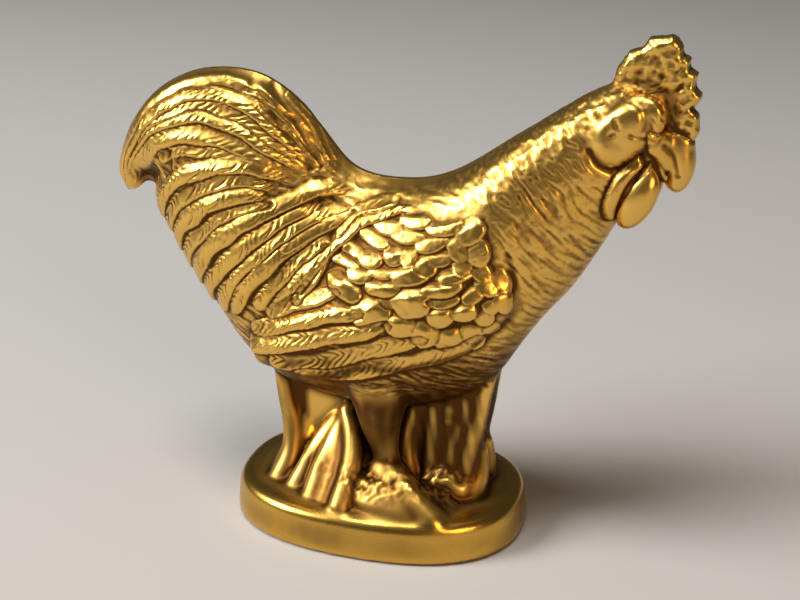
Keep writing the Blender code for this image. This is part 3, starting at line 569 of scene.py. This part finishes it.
def right_half():
    """The right side of the whole figure in even clay, with the plumage raised on it."""
    bm = bmesh.new()
    add_body_skin(bm)
    for node in ("rear_reeds", "front_reeds", "comb"):
        add_node(bm, node, RUN_IN)
    add_ground(bm)
    for line in ROLLS:
        add_roll(bm, line)
    piece = as_object(bm, "figure")
    clay(piece, CLAY_VOXEL)
    bm = bmesh.new()
    bm.from_mesh(piece.data)
    everything = bm.verts[:] + bm.edges[:] + bm.faces[:]
    bmesh.ops.bisect_plane(bm, geom=everything, plane_co=(0, 0, 0), plane_no=(0, 1, 0),
                           clear_outer=True, dist=1e-7)
    bm.to_mesh(piece.data)
    bm.free()
    mesh = piece.data
    points, edges = points_of(mesh), edges_of(mesh)
    seam = np.abs(points[:, 1]) < ON_SEAM
    toothed = on_comb(points[:, [0, 2]] / MM)[:, None]
    keen = np.maximum(ramp(points[:, 0] / MM, 54, 62), 0.5 - 0.5 * ramp(points[:, 2] / MM, 40, 46))[:, None]
    crisp = evened(points, edges, CRISP)
    calm = evened(crisp, edges, CALM)
    points = evened(calm, edges, SOFT) * (1 - keen) + calm * keen
    points = points * (1 - toothed) + crisp * toothed
    points[seam, 1] = 0
    move_points(mesh, points)
    normals = normals_of(mesh)
    normals[seam, 1] = 0
    feathered = ramp(points[:, 2] / MM, *PLUMAGE_FOOT)
    relief = plumage(points, normals) * feathered + undergrowth(points, normals) * (1 - feathered)
    toothed = on_comb(points[:, [0, 2]] / MM)
    relief = relief * (1 - toothed) + comb_skin(points) * toothed
    points += normals * (relief * MM)[:, None]
    points[:, 1] = np.minimum(points[:, 1], -ON_SEAM)
    points[seam, 1] = 0
    move_points(mesh, points)
    store_depth_and_painted_light(mesh)
    return piece


# ---- The two body castings --------------------------------------------------------------------
# Body, tail, neck and head are two hollow brass castings, brazed on the mid plane and dressed
# smooth along the back.  Polishing has rubbed the tops of the feathers bright, and the recesses
# have gone brown.  The underside of the belly is darkened with painted shade.
# Where a casting ends, as (point, way out of it).  Below the first, the belly is cast with the legs.
BELLY_CUT = (Vector((0, 0, 41.0)) * MM, Vector((0, 0, -1)))
COMB_CUT = (Vector((58.0, 0, 123.8)) * MM, Vector((0.50, 0, 0.86)))


def close_cut(bm, point, direction):
    """Closes what a cut left open, in its own plane, and along the mid plane where it ends there."""
    rim = {e for e in bm.edges if e.is_boundary
           and all(abs((v.co - point).dot(direction)) < 2e-6 for v in e.verts)}
    touched = {v for e in rim for v in e.verts}
    ends = sorted((v for v in touched if sum(e in rim for e in v.link_edges) == 1), key=lambda v: v.co.x)
    rim.update(bm.edges.new(pair) for pair in zip(ends[::2], ends[1::2]))
    bm.edges.index_update()
    bmesh.ops.edgeloop_fill(bm, edges=sorted(rim, key=lambda e: e.index))    # in the same order each run
    for e in rim:
        e.smooth = False


def casting(source, name, cuts=(), mirrored=False, both=False):
    """One casting of the figure: what lies behind each cut (point, direction), on one side or on both."""
    bm = bmesh.new()
    bm.from_mesh(source.data)
    for point, direction in cuts:
        everything = bm.verts[:] + bm.edges[:] + bm.faces[:]
        bmesh.ops.bisect_plane(bm, geom=everything, plane_co=point, plane_no=direction,
                               clear_outer=True, dist=1e-7)
    if both:
        whole = bm.verts[:] + bm.edges[:] + bm.faces[:]
        bmesh.ops.mirror(bm, geom=whole, axis="Y", merge_dist=1e-6)
        pinched = [e for e in bm.edges if len(e.link_faces) > 2]     # both sides touch along it
        bmesh.ops.collapse(bm, edges=pinched)
        bmesh.ops.recalc_face_normals(bm, faces=bm.faces)
    if mirrored:
        bmesh.ops.scale(bm, vec=(1, -1, 1), verts=bm.verts)
        bmesh.ops.reverse_faces(bm, faces=bm.faces)
    for point, direction in cuts:
        close_cut(bm, point, direction)
    if not both:
        close_cut(bm, Vector(), Vector((0, 1, 0)))
    bmesh.ops.recalc_face_normals(bm, faces=bm.faces)
    made = as_object(bm, name)
    made.data.shade_smooth()
    return made


def patina_and_painted_shade_group():
    """Where brass is dulled and browned: patina in recesses and drifting patches, and the painted shade and
    painted light that the depth attribute carries.
    """
    group = bpy.data.node_groups.new("patina_and_painted_shade", "ShaderNodeTree")
    for name, way in (("Depth", "INPUT"), ("Dark", "OUTPUT"), ("Dull", "OUTPUT"), ("Grain", "OUTPUT")):
        group.interface.new_socket(name, in_out=way, socket_type="NodeSocketFloat")
    nodes, link = group.nodes, group.links.new
    entry, leave = nodes.new("NodeGroupInput"), nodes.new("NodeGroupOutput")
    where = nodes.new("ShaderNodeTexCoord").outputs["Object"]

    def cloud(scale, detail):
        made = nodes.new("ShaderNodeTexNoise")
        made.inputs["Scale"].default_value = scale
        made.inputs["Detail"].default_value = detail
        link(where, made.inputs["Vector"])
        return made.outputs["Fac"]

    def maths(kind, one, two):
        made = nodes.new("ShaderNodeMath")
        made.operation = kind
        for socket, value in zip(made.inputs, (one, two)):
            if isinstance(value, (int, float)):
                socket.default_value = value
            else:
                link(value, socket)
        return made.outputs[0]

    def fading(value, low, high):
        made = nodes.new("ShaderNodeMapRange")
        made.interpolation_type = "SMOOTHSTEP"
        for name, number in (("From Min", low), ("From Max", high), ("To Min", 1.0), ("To Max", 0.0)):
            made.inputs[name].default_value = number
        link(value, made.inputs["Value"])
        return made.outputs["Result"]

    patches = cloud(55, 4)
    shifted = maths("ADD", entry.outputs["Depth"], maths("MULTIPLY", maths("SUBTRACT", patches, 0.5), 0.6))
    link(fading(shifted, 0.10, 0.46), leave.inputs["Dark"])
    link(fading(shifted, 0.38, 0.74), leave.inputs["Dull"])
    link(cloud(2600, 3), leave.inputs["Grain"])
    return group


PATINA_AND_PAINTED_SHADE = patina_and_painted_shade_group()
BROWN_PATINA_AND_SHADE = (0.095, 0.040, 0.006)    # brass in the recesses, and painted shade under the belly and low down
DULLED_ROUGHER = 0.16            # how much rougher dull brass is than rubbed brass
DULLED_METALLIC = 0.93


def aged_brass_and_painted_light(name, clean, dull, polish):
    """Cast brass: bright where it is rubbed, dull in the flats and brown in the recesses, with the painted
    shade and painted light of the depth attribute.
    """
    made = bpy.data.materials.new(name)
    made.use_nodes = True
    nodes, link = made.node_tree.nodes, made.node_tree.links.new
    shader = nodes["Principled BSDF"]
    depth = nodes.new("ShaderNodeAttribute")
    depth.attribute_name = "depth"
    mask = nodes.new("ShaderNodeGroup")
    mask.node_tree = PATINA_AND_PAINTED_SHADE
    link(depth.outputs["Fac"], mask.inputs["Depth"])
    tint = None
    for colour, share in ((dull, "Dull"), (BROWN_PATINA_AND_SHADE, "Dark")):
        blend = nodes.new("ShaderNodeMix")
        blend.data_type = "RGBA"
        link(mask.outputs[share], blend.inputs["Factor"])
        blend.inputs["A"].default_value = (*clean, 1)
        if tint:
            link(tint, blend.inputs["A"])
        blend.inputs["B"].default_value = (*colour, 1)
        tint = blend.outputs["Result"]
    link(tint, shader.inputs["Base Color"])
    for socket, low, high in (("Roughness", polish, polish + DULLED_ROUGHER),
                              ("Metallic", 1.0, DULLED_METALLIC)):
        change = nodes.new("ShaderNodeMapRange")
        change.inputs["To Min"].default_value = low
        change.inputs["To Max"].default_value = high
        link(mask.outputs["Dull"], change.inputs["Value"])
        link(change.outputs["Result"], shader.inputs[socket])
    bump = nodes.new("ShaderNodeBump")
    bump.inputs["Strength"].default_value = 0.12
    bump.inputs["Distance"].default_value = 0.2 * MM
    link(mask.outputs["Grain"], bump.inputs["Height"])
    link(bump.outputs["Normal"], shader.inputs["Normal"])
    return made


brass = aged_brass_and_painted_light("aged_brass_and_painted_light", clean=(0.83, 0.50, 0.11), dull=(0.36, 0.205, 0.045), polish=0.28)
figure = right_half()
for name, node in (("right_body_casting", "right_body_half"), ("left_body_casting", "left_body_half")):
    half_body = casting(figure, name, cuts=[BELLY_CUT, COMB_CUT], mirrored=node == "left_body_half")
    half_body.data.materials.append(brass)
    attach(half_body, "root")
    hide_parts(node)


# ---- Legs and reeds -----------------------------------------------------------------------------
# The thighs and shanks and the reeds between them are cast with the lowest part of the belly as
# one brass piece, because so slender a leg could not carry the hollow body alone.  It is brazed
# under the body and onto the ground.
GROUND_CUT = (Vector((0, 0, GROUND)), Vector((0, 0, -1)))
UNDER_BELLY = (BELLY_CUT[0], -BELLY_CUT[1])

underneath = casting(figure, "legs_and_reeds", cuts=[GROUND_CUT, UNDER_BELLY], both=True)
underneath.data.materials.append(brass)
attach(underneath, "root")
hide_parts("right_leg", "left_leg", "rear_reeds", "front_reeds")


# ---- The base -----------------------------------------------------------------------------------
# An oval brass tray with a mounded top.  Its side and rim are filed and brushed smooth, and the
# rough ground round the feet keeps the skin of the mould.
UNDER_GROUND = (GROUND_CUT[0], -GROUND_CUT[1])
# The tray's brass has darker colours than the body's, as painted shade on its side.
base_brass = aged_brass_and_painted_light("base_brass", clean=(0.64, 0.375, 0.07), dull=(0.33, 0.19, 0.042), polish=0.26)

ground = casting(figure, "ground", cuts=[UNDER_GROUND], both=True)
ground.data.materials.append(base_brass)
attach(ground, "root")
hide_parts("base")


# ---- The comb -----------------------------------------------------------------------------------
# A thick toothed plate of brass, cast by itself and brazed into the saddle of the skull.  Its skin
# is left rough, with furrows that run out to the teeth.
OFF_SKULL = (COMB_CUT[0], -COMB_CUT[1])

comb = casting(figure, "comb_casting", cuts=[OFF_SKULL], both=True)
comb.data.materials.append(brass)
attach(comb, "root")
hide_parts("comb")
bpy.data.objects.remove(figure)


# ---- The felt pad -----------------------------------------------------------------------------
# A sheet of dark green wool felt under the base, cut to its oval and glued into the recess of the
# rim so that the brass doesn't scratch the table.  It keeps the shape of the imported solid.
def wool_felt():
    made = bpy.data.materials.new("green_felt")
    made.use_nodes = True
    nodes, link = made.node_tree.nodes, made.node_tree.links.new
    shader = nodes["Principled BSDF"]
    shader.inputs["Roughness"].default_value = 0.95
    shader.inputs["Sheen Weight"].default_value = 0.25
    where = nodes.new("ShaderNodeTexCoord")
    hairs = nodes.new("ShaderNodeTexNoise")
    hairs.inputs["Scale"].default_value = 900
    hairs.inputs["Detail"].default_value = 5
    hairs.inputs["Distortion"].default_value = 1.5
    link(where.outputs["Object"], hairs.inputs["Vector"])
    shade = nodes.new("ShaderNodeMix")
    shade.data_type = "RGBA"
    shade.inputs["A"].default_value = (0.010, 0.038, 0.018, 1)
    shade.inputs["B"].default_value = (0.030, 0.085, 0.042, 1)
    link(hairs.outputs["Fac"], shade.inputs["Factor"])
    link(shade.outputs["Result"], shader.inputs["Base Color"])
    bump = nodes.new("ShaderNodeBump")
    bump.inputs["Strength"].default_value = 0.5
    bump.inputs["Distance"].default_value = 0.3 * MM
    link(hairs.outputs["Fac"], bump.inputs["Height"])
    link(bump.outputs["Normal"], shader.inputs["Normal"])
    return made


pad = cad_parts["felt_pad"]
pad.data.materials.clear()
pad.data.materials.append(wool_felt())


# ---- Table, light and camera ----------------------------------------------------------------------
floor_bm = bmesh.new()
bmesh.ops.create_grid(floor_bm, x_segments=1, y_segments=1, size=4.0)
floor = as_object(floor_bm, "table")
paper = bpy.data.materials.new("pale_table")
paper.use_nodes = True
paper.node_tree.nodes["Principled BSDF"].inputs["Base Color"].default_value = (0.45, 0.445, 0.44, 1)
paper.node_tree.nodes["Principled BSDF"].inputs["Roughness"].default_value = 0.8
floor.data.materials.append(paper)

world = bpy.data.worlds.new("room")
bpy.context.scene.world = world
world.use_nodes = True
world.node_tree.nodes["Background"].inputs["Color"].default_value = (0.80, 0.78, 0.76, 1)
world.node_tree.nodes["Background"].inputs["Strength"].default_value = 0.08


def soft_lamp(name, place, size, power, colour):
    light = bpy.data.lights.new(name, "AREA")
    light.shape = "DISK"
    light.size = size
    light.energy = power
    light.color = colour
    lamp = bpy.data.objects.new(name, light)
    lamp.location = place
    lamp.rotation_euler = (-Vector(place) + Vector((0, 0, 0.06))).to_track_quat("-Z", "Y").to_euler()
    bpy.context.scene.collection.objects.link(lamp)


soft_lamp("window", (-1.60, -0.85, 1.25), 1.05, 54, (1.0, 0.98, 0.95))
soft_lamp("ceiling", (-0.10, -0.30, 1.20), 0.50, 9, (1.0, 0.97, 0.92))
soft_lamp("fill", (1.30, -1.10, 0.65), 0.70, 10.5, (1.0, 0.64, 0.30))

EYE_DIRECTION = (17.37, 21.949)      # azimuth and elevation of the camera, in degrees
EYE_DISTANCE = 0.345
EYE_TARGET = Vector((0.005455, 0.0, 0.064025))
EYE_ANGLE = 34.384                   # horizontal angle of view, in degrees
azimuth, elevation = (math.radians(a) for a in EYE_DIRECTION)
level = math.cos(elevation)
back = Vector((math.sin(azimuth) * level, -math.cos(azimuth) * level, math.sin(elevation)))
eye = bpy.data.objects.new("eye", bpy.data.cameras.new("eye"))
bpy.context.scene.collection.objects.link(eye)
eye.location = EYE_TARGET + back * EYE_DISTANCE
eye.rotation_euler = (-back).to_track_quat("-Z", "Y").to_euler()
eye.data.sensor_fit = "HORIZONTAL"
eye.data.angle = math.radians(EYE_ANGLE)
eye.data.clip_start = 0.01
bpy.context.scene.camera = eye
bpy.context.scene.view_settings.view_transform = "Standard"
